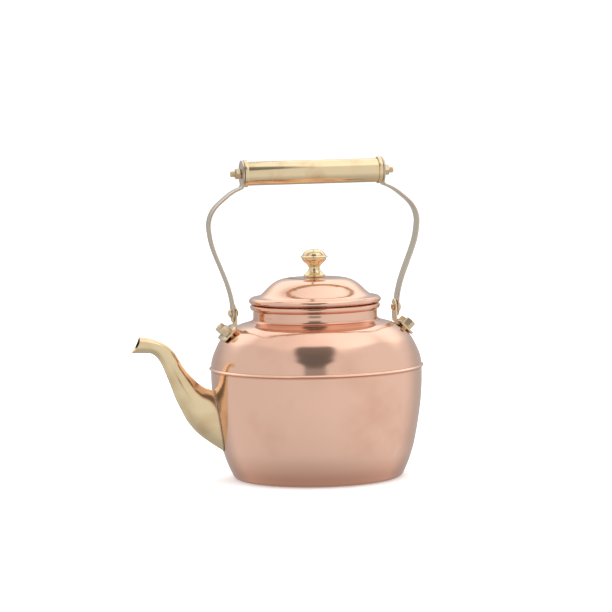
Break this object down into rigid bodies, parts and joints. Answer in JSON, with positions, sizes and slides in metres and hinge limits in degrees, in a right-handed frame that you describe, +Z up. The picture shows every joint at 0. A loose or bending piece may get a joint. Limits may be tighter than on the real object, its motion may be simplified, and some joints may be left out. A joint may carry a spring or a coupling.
{
  "type": "copper kettle",
  "caption": "Spun copper kettle with a lift-off lid, a brass gooseneck spout and a swinging brass bail handle.",
  "frame": {"origin": "centre of the flat base, on the surface the kettle stands on", "axes": "+Z up, -X toward the spout, handle pivot axis parallel to X"},
  "size_m": [0.2329, 0.1706, 0.2529],
  "materials": {
    "copper_body": "polished copper, spun sheet, lacquered, tinned inside",
    "copper_lid": "polished copper, spun sheet, lacquered",
    "tinned_copper": "copper with a wiped tin lining, satin",
    "brass_spout": "polished cast brass",
    "brass_knob": "polished turned brass",
    "brass_strap": "pale rolled brass strip, polished",
    "brass_grip": "polished drawn brass tube",
    "brass_fixings": "turned and milled brass"
  },
  "bodies": {
    "kettle": {"body_bowl": "copper_body", "body_shoulder": "copper_body", "body_neck": "copper_body", "belt_band": "copper_body", "spout": "brass_spout", "ear_back": "brass_fixings", "ear_bolt_back_left": "brass_fixings", "ear_nut_back_left": "brass_fixings", "ear_washer_back_left": "brass_fixings", "ear_bolt_back_right": "brass_fixings", "ear_nut_back_right": "brass_fixings", "ear_washer_back_right": "brass_fixings", "pivot_rivet_back": "brass_fixings", "ear_spout": "brass_fixings", "ear_bolt_spout_left": "brass_fixings", "ear_nut_spout_left": "brass_fixings", "ear_washer_spout_left": "brass_fixings", "ear_bolt_spout_right": "brass_fixings", "ear_nut_spout_right": "brass_fixings", "ear_washer_spout_right": "brass_fixings", "pivot_rivet_spout": "brass_fixings"},
    "handle": {"handle_strap_back": "brass_strap", "handle_strap_spout": "brass_strap", "grip_cap_back": "brass_grip", "grip_cap_spout": "brass_grip", "rod_nut_back": "brass_fixings", "rod_nut_spout": "brass_fixings", "grip_tube": "brass_grip", "grip_rod": "brass_fixings"},
    "lid": {"lid_shell": "copper_lid", "lid_collar": "tinned_copper", "lid_knob": "brass_knob", "lid_knob_washer": "brass_knob", "lid_knob_screw": "brass_knob"}
  },
  "joints": [
    {"name": "handle_swing", "type": "hinge", "parent": "kettle", "child": "handle", "pos_m": [0, 0, 0.13267], "axis": [1, 0, 0], "range_deg": [-105, 105]},
    {"name": "lid_lift", "type": "slide", "parent": "kettle", "child": "lid", "axis": [0, 0, 1], "range_m": [0, 0.048]}
  ]
}
